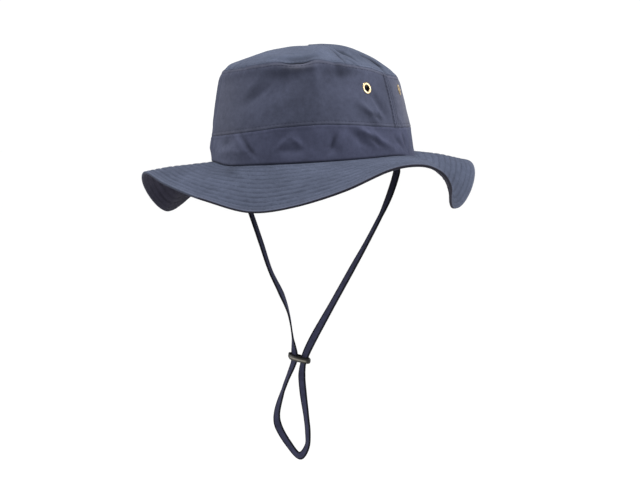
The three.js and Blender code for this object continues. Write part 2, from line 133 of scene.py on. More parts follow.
# Thread
STITCH_LENGTH = 2.1
STITCH_PITCH = 3.1
STITCH_SINK = 0.04
THREAD_RADIUS = 0.24

# Rings of a stitch: place along its length, and size
STITCH_RINGS = ((-0.32, 1.0), (0.0, 1.1), (0.32, 1.0))

# Fineness: points along measured lines, values of the noise, and columns and rows of the cloth. The
# top's rows end just short of its middle.
TAPE_SAMPLES = 4000
STITCH_SAMPLES = 3000
NOISE_VALUES = 4096
WALL_COLUMNS = 600
BAND_ROWS = 34
SIDE_ROWS = 66
TOP_ROWS = 62
TOP_END = 0.998
BRIM_COLUMNS = 560
BRIM_ROWS = 84

# Heights of the band seam and the top seam
CROWN_SEAMS = table(
    "at band top",
    (-150, 21, 70), (-105, 21, 74), (-61, 22.4, 77), (-20, 25, 78), (0, 26.8, 79.6),
    (15, 28.5, 80.6), (28, 29.2, 79), (42, 29, 80.5), (60, 26.8, 76.5), (78, 24, 72),
    (92, 22.5, 67), (118, 21.3, 65), (165, 21, 67),
)

# How far the wall leans in at a height
WALL_LEAN = table(
    "at inset",
    (0, 0), (15, 2), (30, 4.2), (45, 7), (58, 10), (68, 12.3), (76, 13.4), (82, 14.2),
)

# How far the base seam dips, and the brim's slope in degrees at its root, middle and rim
BRIM_WAVE = table(
    "at dip root mid rim",
    (-178, 0, 11, 13, 24), (-145, 0, 9, 16, 28), (-118, 0, 11, 21.5, 32), (-96, 0, 14, 29, 44),
    (-82, 0, 20, 38, 56), (-70, 0, 24, 41.5, 59), (-60, -1.2, 24, 38, 52.5), (-50, -2.2, 5, 17.5, 33),
    (-36, -2.2, -1, 2, 9), (-20, 0.2, 5, 9, 13), (-5, 0, 15.2, 21.2, 27.2), (9, 0, 20.4, 32.4, 44.4),
    (23, 0, 16, 29, 42), (38, 0, 11.6, 17.6, 24.6), (52, 0, 1.6, 5.6, 9.6), (64, 0, 0, 3, 10),
    (74, 0, 0, 10, 28), (83, 0.2, -2, 23, 60), (92, 1.5, -5, 37, 90), (101, 4.8, -6.5, 50.5, 99),
    (111, 6.5, 4, 55.5, 92), (122, 6, 9, 50, 64), (133, 2.5, -2, 19, 32), (145, 0.3, 6, 14, 11),
    (160, 0, 11, 16, 20),
)

# Soft ridges and dents of the crown. Lean is in degrees, from upright towards the wearer's left.
FOLD_COLUMNS = "at up lean length width rise"
FOLDS = table(
    FOLD_COLUMNS,
    (38, 68, 0, 30, 9, 1.6), (19, 69, 12, 26, 12, -1.8), (52, 72, -20, 22, 10, -1.6),
    (68, 37, -52, 30, 8, 1.8), (78, 40, -35, 24, 8, -1.6), (65, 17, -40, 26, 7, 1.5),
    (27, 18, 30, 20, 13, -1.5), (44, 12, 0, 18, 6, -1.2), (-8, 14, -48, 28, 8, 1.5),
    (-50, 14, 10, 22, 10, 1.3), (0, 52, 80, 50, 14, -1.3), (45, 102, 25, 34, 10, 2.2),
    (66, 98, 25, 34, 9, -2), (85, 96, 30, 30, 10, 1.8), (-120, 50, 30, 44, 14, -1.8),
    (150, 48, -25, 44, 14, -1.8), (-170, 30, 60, 40, 12, 1.6), (-45, 46, 15, 36, 12, -1.4),
    (14, 63, 80, 46, 18, -1.5), (50, 63, 95, 30, 18, -1.5), (-62, 62, 0, 84, 64, 2.6),
    (118, 108, 0, 60, 60, 2.6),
)

# Smaller folds that only the dressed cloth has
FINE_FOLDS = table(
    FOLD_COLUMNS,
    (36, 66, 5, 26, 8, 0.8), (-5, 60, 48, 22, 8, 0.9), (0, 57, 48, 22, 7, -0.7),
    (68.2, 35.2, -40, 18, 5, 1.2), (75.7, 34.3, -29, 15, 5, 1), (76, 45, -35, 24, 8, -0.9),
    (-24.4, 9.5, 82, 34, 10, 0.9), (-39.5, 14, 10, 16, 5, 0.8), (117, 56, 0, 30, 11, 0.4),
    (20, 92, 90, 44, 7, 0.9), (17, 16.7, 51, 17, 5, 0.9), (24.6, 16.9, -50, 17, 5, 0.9),
    (21.4, 9.5, -85, 26, 11, -1), (3.8, 57.2, 55, 22, 6, -0.8), (78.4, 7.8, -66, 28, 6, 1.4),
    (66.8, 18.4, -65, 34, 6, 1.2), (-11, 9, -53, 20, 7, 1.1), (19, 22, 60, 22, 12, -1.3),
    (49, 16, 25, 18, 7, 1.1), (59, 16, -50, 20, 6, -1), (62, 20, -54, 20, 6, 1.1),
    (69, 19, -43, 20, 5, 0.9), (87, 10, 12, 22, 8, -1.2), (101, 11, 6, 26, 6, 1.2),
    (96, 27, -40, 14, 4, 0.9), (29, 74.8, 90, 26, 5, 1.1), (91, 84, 0, 20, 6, 0.8),
    (103, 82, 0, 20, 7, 1), (64, 93, 4, 30, 6, 0.8), (80, 92, 4, 30, 8, 0.8),
    (26, 86, 90, 34, 6, -0.8), (-34, 80, 30, 10, 6, -1), (-22, 80, -20, 10, 6, -0.8),
    (-62, 30, 20, 30, 8, 0.7), (130, 40, 25, 34, 8, 0.8), (-140, 34, -30, 30, 7, 0.8),
    (175, 56, 70, 30, 8, -0.8),
)

# Sharp creases, which are also darkened with painted shade
CREASES = table(
    FOLD_COLUMNS,
    (-24, 18.5, 82, 20, 8, -0.8), (-46, 18, -5, 16, 5, -0.8), (-3.3, 13.1, -44, 27, 4.6, -1.5),
    (43.8, 13.4, 28, 21, 4.2, -1.05), (67.8, 14.3, -59, 22, 4.6, -1.3), (90.7, 9.2, -42, 19, 5, -1.1),
    (96.5, 12, -8, 20, 5, -1), (72.2, 32.5, -70, 22, 5.5, -1.1), (21.4, 9.8, -85, 20, 9, -0.5),
    (14.9, 70, 90, 38, 9, -0.6), (55.5, 69.3, 90, 34, 9, -0.8), (28, 86.6, 90, 40, 7, -1.1),
    (24, 80, 90, 30, 2.6, -0.7), (30, 79.4, 90, 14, 3.2, -1), (97.6, 84.8, -28, 17, 7, -2.8),
    (97, 75.2, 37, 19, 6, -2.2), (101, 78.5, -42, 24, 3.4, -1.8), (58.5, 92, 3, 32, 3.4, -1.4),
    (70.5, 96, 6, 34, 3.6, -1.4), (65, 79, -35, 16, 3.2, -1), (89, 95, -8, 20, 3.4, -1.2),
    (-12, 81, 0, 9, 4, -0.7), (-26, 79, 20, 10, 4, -0.9), (-36, 78, -10, 10, 4, -1),
)

# How deep the corner between wall and top is rounded, and how far to either side
SHOULDER = table(
    "at round reach",
    (-150, 1.3, 3.6), (-100, 2, 4.5), (-62, 3, 5.5), (-30, 1.6, 3.8), (10, 1.1, 3.2),
    (70, 1, 3.2), (100, 0.8, 3.4), (130, 1.4, 4.2), (165, 1.1, 3.4),
)

# Low rises and sunken places of the top, seen in plan
TOP_DENTS = table(
    "x y size rise",
    (-49.5, -26.7, 24, -1.3), (10.4, 5.6, 20, -1.3), (48, 40, 15, 0.8),
)

# Gentle waves of the cloth. Cells are in degrees around the wall and in millimetres otherwise.
WALL_WAVES = table(
    "height around upward shift seed",
    (0.42, 12, 24, 0, 11), (0.2, 6, 11, 5, 12), (0.07, 2.4, 4.4, 0, 13),
)
TOP_WAVES = table(
    "height cell seed",
    (0.55, 26, 21), (0.25, 11, 22), (0.07, 4.4, 23),
)

# Flanks of the crown painted paler, as painted light where the side lamps fall: azimuth and reach,
# strength below and above the band seam, and the distance from the top seam over which they ease in
PAINTED_LIGHT_FLANKS = table(
    "at reach below above ease",
    (116, 17, 0.25, 0.9, 8), (-30, 22, 0.62, 0.22, 14),
)

# Azimuths of patches: the painted highlight on the lip of the top seam, painted shade in the hollow at the
# front (with its height) and on the top's flank, the foot where its painted shadow line runs out level, and
# painted shade in the brim's fold and on its flank
LIP = 26
SHADED_HOLLOW = (22, 47)
TOP_FLANK = 84
LEVEL_FOOT = 107
SHADED_BRIM_FOLD = -11
BRIM_FLANK = 95

# Eyelets: radii from the hole's axis, and heights from the middle of the cloth. Turn is in degrees,
# about the upright; a washer's points have a radius and a depth under the ring's inner face.
EYELETS = table(
    "node at up turn",
    ("eyelet_left_front", 70, 56, 0),
    ("eyelet_left_back", 106.2, 53.2, 5),
    ("eyelet_right_front", -71.5, 54.5, 0),
    ("eyelet_right_back", -108.5, 54.5, 0),
)
HOLE_RADIUS = 3.5
EYELET_SIDES = 56
EYELET_FACE = CLOTH / 2 + 0.15
ROLL_RADIUS = 3.75
ROLL_HALF_WIDTH = 1.1
ROLL_RISE = 0.5
ROLL_SEAT = 4.75
BARREL_RADIUS = 2.62
CORE_RADIUS = 2.95
WASHER = [(2.7, 0.3), (2.9, 0.5), (4.3, 0.5), (4.5, 0.35), (4.5, 0.0)]

# Chin strap: places of the tape's middle, and where its face looks in degrees from the front
TAPE_WIDTH = 7.0
TAPE_THICKNESS = 1.5
TAPE_STEP = 1.6
TAPE_ACROSS = np.array([-1, -0.93, -0.7, -0.35, 0, 0.35, 0.7, 0.93, 1])
TAPE_SWELL = np.array([0.3, 0.78, 0.95, 1.0, 1.0, 1.0, 0.95, 0.78, 0.3])
TAPE_PATH = table(
    "x y z face",
    (76.9, 0, 14, -90), (77.5, 0, 4, -90), (77.9, 0, -4, -90), (76.8, 0, -13, -12), (70, 0, -31, -20),
    (64.2, 0, -42.5, -36), (60.2, 0, -49.6, -48), (45.5, 0, -73, -45), (30.1, 0, -96, -32),
    (9.1, 0, -127.4, -25), (-11, 0, -157.5, 8), (-18.4, 0, -170.2, -3), (-20.4, 0, -174.9, -6),
    (-21.9, 0, -179.6, -24), (-23.1, -1, -189, 0), (-21.6, -3, -205, 0), (-19.3, -4, -224.5, -21),
    (-18.6, -4, -239, -22), (-20.7, -3, -252, -34), (-29.7, -1, -261.5, -22), (-41.8, 1, -251.5, 0),
    (-51.7, 2, -236, 18), (-52.2, 2, -226, -10), (-44.6, 2, -204.5, -47), (-38.1, 1, -191.7, -45),
    (-31.6, 0, -179.6, -26), (-29.9, 0, -174.4, -5), (-29.9, 0, -168.5, -15), (-30.7, 0, -157, -54),
    (-33.6, 0, -135, -69), (-39.6, 0, -118, -97), (-49.3, 0, -98, -86), (-57.6, 0, -72, -92),
    (-66.2, 0, -46, -92), (-74.4, 0, -23, -90), (-77.4, 0, -12, -90), (-77.9, 0, -4, -90),
    (-77.5, 0, 4, -90), (-76.9, 0, 14, -90),
)

# The strap is darkened with painted shade from the brim above SHADE_END, fully from SHADE_DEPTH higher
SHADE_END = -58.0
SHADE_DEPTH = 30.0

# Slider
SLIDER_WIDTH = 21.5
SLIDER_DEPTH = 8.4
SLIDER_HEIGHT = 5.0
SLIDER_WALL = 1.2
SLIDER_CENTRE = (-25.3, 0.0, -174.6)
SLIDER_TILT = 11.5
SLIDER_SIDES = 96
SLIDER_LEVELS = 13
SLIDER_SWELL = 0.5
SLIDER_ROUNDING = 2.0
SLIDER_FLARE = 0.35
SLIDER_TIP_LIFT = 1.3

# Materials: a wave texture of scale 1 repeats after WAVE_PERIOD; the shade attribute ends at DARKEST
WAVE_PERIOD = 0.31416
CLOTH_THREAD = 0.55
DARKEST = 1.35

# Studio
WORLD_LIGHT = 1.06
FLOOR_HALF = 40000.0
FLOOR_HEIGHT = -1400.0
FLOOR_TONE = (0.95, 0.95, 0.95)
LIGHTS = table(
    "name place aim size power",
    ("overhead", (0.12, -0.14, 1.45), (0, 0, 0.02), (0.6, 0.6), 38),
    ("right_back", (1.6, 0.5, 0.42), (0.02, 0, 0.03), (0.6, 0.8), 34),
    ("left_front", (-1.7, -1, 0.2), (0, 0, 0.02), (0.6, 0.6), 26),
)


def scene_object(name, data):
    obj = bpy.data.objects.new(name, data)
    bpy.context.scene.collection.objects.link(obj)
    return obj


def camera():
    data = bpy.data.cameras.new("camera")
    data.lens = LENS
    data.sensor_width = SENSOR_WIDTH
    data.clip_end = CLIP_END
    heading = Matrix.Rotation(math.radians(CAMERA_AZIMUTH - CAMERA_YAW), 4, "Z")
    pitch = Matrix.Rotation(math.radians(90 - CAMERA_PITCH), 4, "X")
    roll = Matrix.Rotation(math.radians(-CAMERA_ROLL), 4, "Z")
    azimuth = math.radians(CAMERA_AZIMUTH)
    ground = Vector((math.sin(azimuth), -math.cos(azimuth), 0)) * CAMERA_DISTANCE
    place = (ground + Vector((0, 0, CAMERA_HEIGHT))) * MM
    obj = scene_object("camera", data)
    obj.matrix_world = Matrix.Translation(place) @ heading @ pitch @ roll
    bpy.context.scene.camera = obj


# Reading of tables and soft shapes

def hermite(at, value, slope, where):
    k = np.clip(np.searchsorted(at, where, side="right") - 1, 0, len(at) - 2)
    span = at[k + 1] - at[k]
    t = (where - at[k]) / span
    t2, t3 = t * t, t * t * t
    return ((2 * t3 - 3 * t2 + 1) * value[k] + (t3 - 2 * t2 + t) * span * slope[k]
            + (3 * t2 - 2 * t3) * value[k + 1] + (t3 - t2) * span * slope[k + 1])


def smooth(at, value, where):
    """A smooth curve through values, read at places."""
    slope = np.empty_like(value)
    slope[1:-1] = (value[2:] - value[:-2]) / (at[2:] - at[:-2])
    slope[0] = (value[1] - value[0]) / (at[1] - at[0])
    slope[-1] = (value[-1] - value[-2]) / (at[-1] - at[-2])
    return hermite(at, value, slope, where)


def read_around(rows, column, azimuth):
    """Smooth reading of one column of a table that runs all the way around."""
    at, value = np.array([(row["at"], row[column]) for row in rows], float).T
    at = np.concatenate([at[-2:] - 360, at, at[:3] + 360])
    value = np.concatenate([value[-2:], value, value[:3]])
    return smooth(at, value, (azimuth - at[2]) % 360 + at[2])


def read_along(rows, column, where):
    """Smooth reading of one column of a table with two ends."""
    at, value = np.array([(row["at"], row[column]) for row in rows], float).T
    return smooth(at, value, where)


def noise(a, b, seed, wrap=0):
    """Smooth seeded noise from -1 to 1 on unit cells; wrap is the number of cells around in a."""
    values = np.random.default_rng(seed).uniform(-1, 1, NOISE_VALUES)
    ia, ib = np.floor(a).astype(np.int64), np.floor(b).astype(np.int64)
    fa, fb = a - ia, b - ib
    sa, sb = fa * fa * (3 - 2 * fa), fb * fb * (3 - 2 * fb)

    def corner(i, j):
        if wrap:
            i = i % wrap
        return values[((i * 73856093) ^ (j * 19349663)) % NOISE_VALUES]

    low = corner(ia, ib) * (1 - sa) + corner(ia + 1, ib) * sa
    high = corner(ia, ib + 1) * (1 - sa) + corner(ia + 1, ib + 1) * sa
    return low * (1 - sb) + high * sb


def noise_around(azimuth, cell, across, seed, shift=0.0):
    """Noise with cells of so many degrees, closed around the hat."""
    return noise(azimuth / cell + shift, across, seed, int(round(360 / cell)))


def hump(distance, width):
    """A soft hump: 1 at no distance, and about a third at the width."""
    return np.exp(-(distance / width) ** 2)


def under(value, edge, width):
    """A soft step: 1 where the value is well under the edge and 0 well over it."""
    return 1 / (1 + np.exp((value - edge) / width))


def turn_from(middle, azimuth):
    """Degrees around from a middle, -180 to 180."""
    return (azimuth - middle + 540) % 360 - 180


def unit(v):
    return v / np.maximum(np.linalg.norm(v, axis=-1, keepdims=True), 1e-12)


def run_of(points):
    """Distance along a line of points from its start."""
    return np.concatenate([[0], np.cumsum(np.linalg.norm(np.diff(points, axis=0), axis=1))])


# Shape of the crown

def band_seam(azimuth):
    return read_around(CROWN_SEAMS, "band", azimuth)


def top_seam(azimuth):
    return read_around(CROWN_SEAMS, "top", azimuth)


def seam_dip(azimuth):
    return read_around(BRIM_WAVE, "dip", azimuth)


def top_reach(azimuth):
    """Distance over the top from its seam to its middle."""
    a = np.radians(azimuth)
    inset = read_along(WALL_LEAN, "inset", top_seam(azimuth))
    return np.hypot((HALF_WIDTH - inset) * np.sin(a), (HALF_LENGTH - inset) * np.cos(a))


def foot_fade(azimuth, up):
    return np.clip((up + seam_dip(azimuth) - FADE_START) / FADE_HEIGHT, 0, 1)


def fold_rise(azimuth, up, folds):
    """Height of the folds of a table, fading out at the foot."""
    rise = np.zeros(np.broadcast(azimuth, up).shape)
    shrink = 1 - SHRINK_SHARE * np.clip((up - SHRINK_START) / SHRINK_REACH, 0, 1)
    radius = (HALF_WIDTH + HALF_LENGTH) / 2 * shrink
    for fold in folds:
        above = up - fold["up"]
        across = np.radians(turn_from(fold["at"], azimuth)) * radius
        lean = math.radians(fold["lean"])
        along = above * math.cos(lean) + across * math.sin(lean)
        beside = across * math.cos(lean) - above * math.sin(lean)
        rise = rise + fold["rise"] * hump(along, fold["length"] / 2) * hump(beside, fold["width"] / 2)
    return rise * foot_fade(azimuth, up)


def smooth_crown(azimuth, up):
    a = np.radians(azimuth)
    seam = top_seam(azimuth)
    inset = read_along(WALL_LEAN, "inset", np.clip(up, 0, seam))
    r = np.where(up > seam, 1 - (up - seam) / top_reach(azimuth), 1.0)
    x = (HALF_WIDTH - inset) * np.sin(a) * r
    y = -(HALF_LENGTH - inset) * np.cos(a) * r
    z = np.where(up > seam, CROWN_HEIGHT + (seam - CROWN_HEIGHT) * np.abs(r) ** DOME_POWER, up)
    return np.stack([x, y, z], -1)


def crown_normal(azimuth, up):
    seam = top_seam(azimuth)
    low = np.where(up > seam, np.maximum(up - 0.5, seam + 0.01), up - 0.5)
    high = np.where(up > seam, up + 0.5, np.minimum(up + 0.5, seam))
    around = smooth_crown(azimuth + 0.5, up) - smooth_crown(azimuth - 0.5, up)
    return unit(np.cross(around, smooth_crown(azimuth, high) - smooth_crown(azimuth, low)))


def eased_normal(azimuth, up):
    """The crown's normal, leaning to the shared slant close to the top seam."""
    seam = top_seam(azimuth)
    near = np.clip(1 - np.abs(up - seam) / CORNER_REACH, 0, 1)[..., None]
    corner = unit(crown_normal(azimuth, seam - 0.3) + crown_normal(azimuth, seam + 0.6))
    return unit(crown_normal(azimuth, up) * (1 - near) + corner * near)


def seam_relief(distance, azimuth, seed, groove, ridge, line):
    """Pull of a sewn seam on the cloth beside it: groove, ridge, stitch line and puckers."""
    d = np.abs(distance)
    pull = (ridge * hump(d - RIDGE_PLACE, RIDGE_WIDTH) - groove * hump(d, GROOVE_WIDTH)
            - line * hump(d - TOPSTITCH, 0.5))
    pucker = 0.3 * noise_around(azimuth, PUCKER_SIZE / WALL_ARC, d / 7 + 3, seed) * np.exp(-d / 5.5)
    fine = 0.1 * noise_around(azimuth, FINE_PUCKER_SIZE / WALL_ARC, d / 5, seed + 1, 0.3) * np.exp(-d / 3)
    return pull + pucker + fine


def side_distance(middle, azimuth):
    """Distance from a side seam."""
    return np.abs(np.radians(turn_from(middle, azimuth)) * SIDE_RADIUS)


def side_relief(middle, azimuth, up):
    """A side seam with its groove, the flats pressed to both sides and some puckers."""
    d = side_distance(middle, azimuth)
    flats = 0.45 * under(d, SIDE_FLAT, 0.3) - 0.25 * hump(d, 0.6) - 0.3 * hump(d - SIDE_FLAT - 0.4, 0.7)
    return flats + 0.25 * noise(up / 4.5, d / 6 + 2, 51) * np.exp(-d / 6)


def shoulder(azimuth, up):
    """How far the corner between wall and top is rounded off."""
    reach = read_around(SHOULDER, "reach", azimuth)
    return read_around(SHOULDER, "round", azimuth) * hump(up - top_seam(azimuth), reach)


def crown_relief(azimuth, up):
    """Everything that stands off the smooth crown: folds, soft waves and the pull of the seams."""
    seam, band = top_seam(azimuth), band_seam(azimuth)
    rise = sum(fold_rise(azimuth, up, folds) for folds in (FOLDS, FINE_FOLDS, CREASES))
    x, y = np.moveaxis(smooth_crown(azimuth, up), -1, 0)[:2]
    wall = sum(wave["height"] * noise_around(azimuth, wave["around"], up / wave["upward"] + wave["shift"],
                                             wave["seed"]) for wave in WALL_WAVES)
    top = sum(wave["height"] * noise(x / wave["cell"], y / wave["cell"], wave["seed"]) for wave in TOP_WAVES)
    for dent in TOP_DENTS:
        top = top + dent["rise"] * hump(np.hypot(x - dent["x"], y - dent["y"]), dent["size"])
    rise = rise + np.where(up > seam, top, wall) * foot_fade(azimuth, up)
    rise = rise + seam_relief(up - seam, azimuth, 31, 0.3, 0.2, 0.14) - shoulder(azimuth, up)
    rise = rise + np.where(up < seam, seam_relief(up - band, azimuth, 41, 0.2, 0.1, 0.1), 0)
    on_side = (up > band) & (up < seam)
    for middle in SIDE_SEAMS:
        rise = rise + np.where(on_side, side_relief(middle, azimuth, up), 0)
    return rise - FOOT_TUCK * np.clip(1 - (up + seam_dip(azimuth)) / CLOTH, 0, 1) ** 2


def crown_point(azimuth, up, depth=0.0):
    lift = crown_relief(azimuth, up) - depth
    return smooth_crown(azimuth, up) + eased_normal(azimuth, up) * lift[..., None]


# Shape of the brim

def bend(start, end, run):
    """Reach outward and downward of half a brim profile that turns evenly between two slopes."""
    half = (end - start) * run / BRIM_WIDTH
    chord = run * np.sinc(half / np.pi)
    return chord * np.cos(start + half), chord * np.sin(start + half)


def brim_middle(azimuth, along):
    a = np.radians(azimuth)
    root, mid, rim = (np.radians(read_around(BRIM_WAVE, name, azimuth)) for name in ("root", "mid", "rim"))
    inner_out, inner_drop = bend(root, mid, np.clip(along, 0, BRIM_WIDTH / 2))
    outer_out, outer_drop = bend(mid, rim, np.maximum(along - BRIM_WIDTH / 2, 0))
    out = inner_out + outer_out + np.minimum(along, 0)
    drop = seam_dip(azimuth) + inner_drop + outer_drop
    foot = np.stack([HALF_WIDTH * np.sin(a), -HALF_LENGTH * np.cos(a), -drop], -1)
    outward = unit(np.stack([np.sin(a) / HALF_WIDTH, -np.cos(a) / HALF_LENGTH, np.zeros_like(a)], -1))
    return foot + outward * out[..., None]


def brim_normal(azimuth, along):
    around = brim_middle(azimuth + 1, along) - brim_middle(azimuth - 1, along)
    outward = brim_middle(azimuth, along + 1) - brim_middle(azimuth, along - 0.5)
    return unit(np.cross(outward, around))


def quilt_line(row):
    """Distance of a quilting row from the base seam; the rows close up towards the rim."""
    return QUILT_FIRST + QUILT_SPACING * row - QUILT_CLOSING * row * row


def quilt_place(along):
    """The quilting rows counted outward at a distance from the base seam, in parts of a row."""
    root = np.sqrt(QUILT_SPACING ** 2 - 4 * QUILT_CLOSING * (along - QUILT_FIRST))
    return (QUILT_SPACING - root) / (2 * QUILT_CLOSING)


def quilt_pull(azimuth, row):
    """How hard each stretch of a quilting row pulls on the cloth."""
    return 0.75 + 0.6 * noise_around(azimuth, 7.2 / BRIM_ARC, row * 5.7, 64)


def quilt_relief(azimuth, along):
    """Pillows between the quilting rows, with fine puckers across them."""
    place = quilt_place(along)
    row = np.round(place)
    inside = (along > 1) & (row <= QUILT_ROWS - 1)
    d = np.abs(along - quilt_line(row))
    sewn = (row >= 0) & (row <= QUILT_ROWS - 1)
    dent = hump(d, QUILT_GROOVE_WIDTH)
    groove = np.where(sewn, -QUILT_GROOVE * quilt_pull(azimuth, row) * dent, 0)
    rough = 1 + 1.2 * hump(turn_from(ROUGH_MIDDLE, azimuth), ROUGH_REACH)
    pucker = (0.18 * noise_around(azimuth, 3.4 / BRIM_ARC, np.floor(place) * 7.3 + place, 61)
              + 0.13 * noise_around(azimuth, 1.7 / BRIM_ARC, np.floor(place) * 3.1, 62))
    pucker = pucker * rough * (1 - dent)
    return groove + np.where(inside, pucker, pucker * 0.4)


def brim_point(azimuth, along, depth):
    """A point in the brim's thickness: depth 0 on top, BRIM_THICKNESS below."""
    hem = 0.3 * hump(along - BRIM_WIDTH + HEM_WIDTH, 0.55) + 0.22 * hump(along - BRIM_WIDTH + EDGE_ROW, 0.5)
    share = np.clip(1 - 2 * depth / BRIM_THICKNESS, -1, 1)
    soft = 0.3 * noise_around(azimuth, 9, along / 16, 63)
    lift = ((quilt_relief(azimuth, along) - hem) * share + soft) * np.clip(along / 3, 0, 1) - depth
    point = brim_middle(azimuth, along) + brim_normal(azimuth, along) * lift[..., None]
    return point + np.array([0, 0, SEAM_OVERLAP])


# Meshes

def dress(obj, node=None):
    if node:
        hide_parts(node)
    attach(obj, "root")


def mesh_object(name, points, faces, materials, uv=None, smooth=True, **attributes):
    """A mesh object from points in millimetres. Each attribute has one value for each point."""
    data = bpy.data.meshes.new(name)
    faces = faces if isinstance(faces, list) else faces.tolist()
    data.from_pydata((np.asarray(points) * MM).tolist(), [], faces)
    data.update()
    if uv is not None:
        layer = data.uv_layers.new(name="cloth")
        corners = np.zeros(len(data.loops), np.int32)
        data.loops.foreach_get("vertex_index", corners)
        layer.data.foreach_set("uv", np.asarray(uv, np.float32)[corners].ravel())
    for label, values in attributes.items():
        layer = data.attributes.new(label, "FLOAT", "POINT")
        layer.data.foreach_set("value", np.asarray(values, np.float32))
    data.polygons.foreach_set("use_smooth", np.full(len(data.polygons), smooth))
    for material in materials:
        data.materials.append(material)
    return scene_object(name, data)


def tube_faces(rings, sides, closed):
    """Quads between rings of points; closed joins the last ring to the first."""
    i, j = np.meshgrid(np.arange(rings if closed else rings - 1), np.arange(sides), indexing="ij")
    m, k = (i + 1) % rings, (j + 1) % sides
    return np.stack([i * sides + j, i * sides + k, m * sides + k, m * sides + j], -1).reshape(-1, 4)


def grid_faces(kept, ring):
    """Faces of a closed sheet of two layers, from a grid of columns and rows that says which cells are
    there: the cells of the first layer, those of the second, and the walls at every edge."""
    columns, rows = kept.shape
    stations = columns if ring else columns + 1
    beside = np.pad(kept, 1)
    if ring:
        beside[0], beside[-1] = beside[-2], beside[1]

    def at(i, j, layer):
        return (layer * stations + (i % stations)) * (rows + 1) + j

    i, j = np.nonzero(kept)
    faces = [np.stack([at(i, j, 0), at(i + 1, j, 0), at(i + 1, j + 1, 0), at(i, j + 1, 0)], -1),
             np.stack([at(i, j, 1), at(i, j + 1, 1), at(i + 1, j + 1, 1), at(i + 1, j, 1)], -1)]
    for di, dj, first, second in ((0, -1, (0, 0), (1, 0)), (0, 1, (1, 1), (0, 1)),
                                  (-1, 0, (0, 1), (0, 0)), (1, 0, (1, 0), (1, 1))):
        open_side = ~beside[i + 1 + di, j + 1 + dj]
        a, b = i[open_side], j[open_side]
        p, q = ([at(a + end[0], b + end[1], layer) for layer in (0, 1)] for end in (first, second))
        faces.append(np.stack([q[0], p[0], p[1], q[1]], -1))
    return np.concatenate(faces)


def sheet_object(name, columns, rows, ring, at, point, materials, uv, wear, shade, keep=None):
    """A closed sheet object of two layers with a material each. at turns grids from 0 to 1 into places
    on the surface, and the other functions take those; point takes the layer too."""
    stations = columns if ring else columns + 1
    place = at(*np.meshgrid(np.arange(stations) / columns, np.arange(rows + 1) / rows, indexing="ij"))
    kept = np.ones((columns, rows), bool)
    if keep:
        middles = np.meshgrid((np.arange(columns) + 0.5) / columns, (np.arange(rows) + 0.5) / rows,
                              indexing="ij")
        kept = keep(*at(*middles))
    points = np.concatenate([point(*place, layer).reshape(-1, 3) for layer in (0, 1)])
    obj = mesh_object(name, points, grid_faces(kept, ring), [MATERIALS[key] for key in materials],
                      uv=np.tile(uv(*place).reshape(-1, 2), (2, 1)),
                      wear=np.tile(wear(*place).ravel(), 2), shade=np.tile(shade(*place).ravel(), 2))
    count = int(kept.sum())
    index = np.zeros(len(obj.data.polygons), np.int32)
    index[count:2 * count] = 1
    obj.data.polygons.foreach_set("material_index", index)
    return obj


# Materials

class Shader:
    """A material, with short forms for making its nodes."""

    def __init__(self, name, base, roughness, **settings):
        self.material = bpy.data.materials.new(name)
        self.material.use_nodes = True
        self.tree = self.material.node_tree
        self.bsdf = self.tree.nodes["Principled BSDF"]
        self.fill(self.bsdf, Base_Color=(*base, 1), Roughness=roughness, **settings)
        self.place = self.node("TexCoord", "Object")

    def fill(self, node, **settings):
        """Sets properties and inputs by name. A socket is linked to the input."""
        for key, value in settings.items():
            label = key.replace("_", " ")
            if label not in node.inputs:
                setattr(node, key, value)
            elif isinstance(value, bpy.types.NodeSocket):
                self.tree.links.new(value, node.inputs[label])
            else:
                node.inputs[label].default_value = value

    def node(self, kind, output, **settings):
        """The named output of a new node."""
        node = self.tree.nodes.new("ShaderNode" + kind)
        self.fill(node, **settings)
        return node.outputs[output]

    def noise(self, scale, detail, roughness=0.5):
        return self.node("TexNoise", "Fac", Vector=self.place, Scale=scale, Detail=detail,
                         Roughness=roughness)

    def wave(self, place, scale, distortion, **settings):
        return self.node("TexWave", "Fac", Vector=place, Scale=scale, Distortion=distortion, **settings)

    def attribute(self, name):
        return self.node("Attribute", "Fac", attribute_name=name)

    def ramp(self, source, low, high, start, end):
        return self.node("MapRange", "Result", Value=source, From_Min=low, From_Max=high, To_Min=start,
                         To_Max=end)

    def calculate(self, operation, a, b=0.0):
        node = self.tree.nodes.new("ShaderNodeMath")
        node.operation = operation
        for socket, value in zip(node.inputs, (a, b)):
            if isinstance(value, bpy.types.NodeSocket):
                self.tree.links.new(value, socket)
            else:
                socket.default_value = value
        return node.outputs[0]

    def product(self, first, *others):
        for other in others:
            first = self.calculate("MULTIPLY", first, other)
        return first

    def scaled(self, colour, factor):
        return self.node("VectorMath", "Vector", operation="SCALE", Vector=colour, Scale=factor)

    def mix(self, factor, colour, other):
        return self.node("Mix", "Result", data_type="RGBA", Factor=factor, A=colour, B=(*other, 1))

    def surface(self, colour, roughness, height, strength, distance):
        """Links the colour, the roughness and a bump of a height over a distance in millimetres."""
        normal = self.node("Bump", "Normal", Strength=strength, Distance=distance * MM, Height=height)
        self.fill(self.bsdf, Base_Color=colour, Roughness=roughness, Normal=normal)
        return self.material


